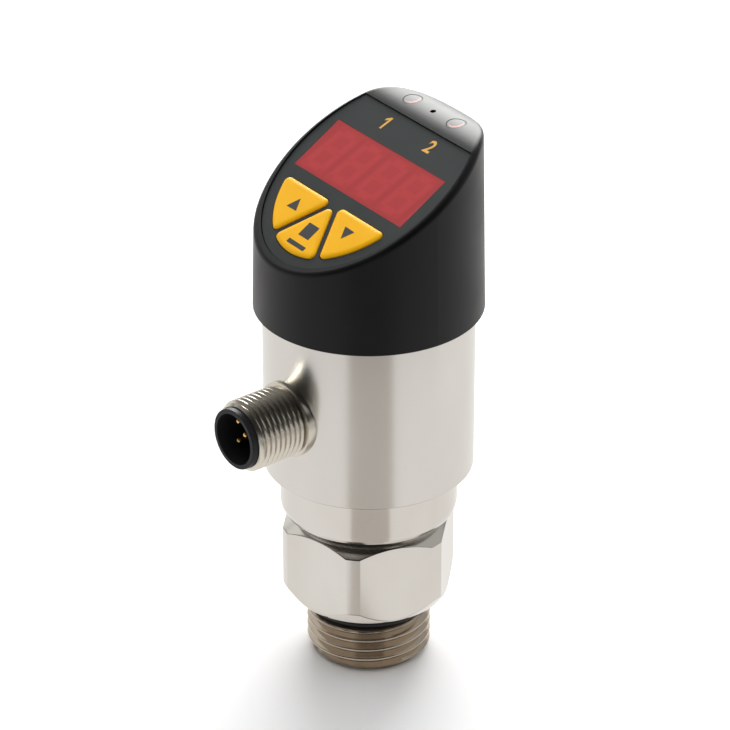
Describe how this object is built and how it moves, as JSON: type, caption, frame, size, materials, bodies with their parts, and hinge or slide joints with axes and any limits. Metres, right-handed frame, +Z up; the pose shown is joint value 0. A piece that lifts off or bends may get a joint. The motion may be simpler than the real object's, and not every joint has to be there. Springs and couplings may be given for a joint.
{
  "type": "pressure switch",
  "caption": "Digital pressure switch with a slanted display head, three keys, steel housing, side sensor connector and a hexagon threaded process connection.",
  "frame": {"origin": "centre of the pressure port's mouth, at the free end of the male thread", "axes": "+Z up the main axis from the thread to the display head, -Y out along the side connector, +X to the right of someone facing the connector"},
  "size_m": [0.038, 0.0474, 0.096],
  "materials": {
    "turned_steel": "turned stainless steel, satin",
    "housing_steel": "ground stainless tube, satin",
    "sleeve_metal": "nickel-plated, semi-bright",
    "seal_rubber": "moulded elastomer",
    "cell_ceramic": "fired alumina, fine matt",
    "contact_gold": "gold-plated",
    "insert_plastic": "moulded, fine matt",
    "wire_jacket": "soft insulation",
    "board_laminate": "solder mask over laminate",
    "inner_plastic": "moulded, matt",
    "fastener_steel": "plain",
    "chip_plastic": "moulded epoxy",
    "can_aluminium": "drawn can",
    "head_plastic": "moulded, satin",
    "membrane_film": "printed film, fine matt",
    "window_red": "tinted clear filter, satin",
    "digit_module": "potted module face",
    "lens_clear": "clear light pipe",
    "led_red": "tinted epoxy",
    "vent_white": "porous membrane",
    "key_yellow": "moulded, semi-gloss"
  },
  "bodies": {
    "process_fitting": {"process_connection": "turned_steel", "process_seal_ring": "seal_rubber", "sensor_o_ring": "seal_rubber", "sensor_cell": "cell_ceramic", "sensor_clamp_ring": "turned_steel", "sensor_contact_pins": "contact_gold", "sensor_board": "board_laminate", "sensor_cable": "wire_jacket", "neck_o_ring": "seal_rubber", "neck_circlip": "fastener_steel"},
    "housing": {"housing_tube": "housing_steel", "housing_collar": "turned_steel", "connector_sleeve": "sleeve_metal", "connector_lock_nut": "sleeve_metal", "connector_insert": "insert_plastic", "connector_contacts": "contact_gold", "connector_leads": "wire_jacket", "main_board": "board_laminate", "board_carrier": "inner_plastic", "board_screws": "fastener_steel", "link_socket": "inner_plastic", "sensor_socket": "inner_plastic", "controller_chip": "chip_plastic", "output_transistors": "chip_plastic", "smoothing_capacitors": "can_aluminium"},
    "display_head": {"head_shell": "head_plastic", "keypad_membrane": "membrane_film", "display_window": "window_red", "digit_display": "digit_module", "display_board": "board_laminate", "display_board_screws": "fastener_steel", "key_domes": "fastener_steel", "indicator_lenses": "lens_clear", "indicator_leds": "led_red", "indicator_board": "board_laminate", "indicator_header": "inner_plastic", "vent_membrane": "vent_white", "head_retaining_ring": "inner_plastic", "retaining_ring_screws": "fastener_steel", "head_o_ring": "seal_rubber", "link_cable": "wire_jacket"},
    "key_up": {"key_up": "key_yellow"},
    "key_set": {"key_set": "key_yellow"},
    "key_down": {"key_down": "key_yellow"}
  },
  "joints": [
    {"name": "housing_turn", "type": "hinge", "parent": "process_fitting", "child": "housing", "pos_m": [0, 0, 0.03], "axis": [0, 0, 1], "range_deg": [-165, 165]},
    {"name": "head_turn", "type": "hinge", "parent": "housing", "child": "display_head", "pos_m": [0, 0, 0.068], "axis": [0, 0, 1], "range_deg": [-165, 165]},
    {"name": "key_up_press", "type": "slide", "parent": "display_head", "child": "key_up", "axis": [0.0403, 0.5294, -0.8474], "range_m": [0, 0.00035], "stiffness_N_per_m": 4000},
    {"name": "key_set_press", "type": "slide", "parent": "display_head", "child": "key_set", "axis": [0.0403, 0.5294, -0.8474], "range_m": [0, 0.00035], "stiffness_N_per_m": 4000},
    {"name": "key_down_press", "type": "slide", "parent": "display_head", "child": "key_down", "axis": [0.0403, 0.5294, -0.8474], "range_m": [0, 0.00035], "stiffness_N_per_m": 4000}
  ]
}
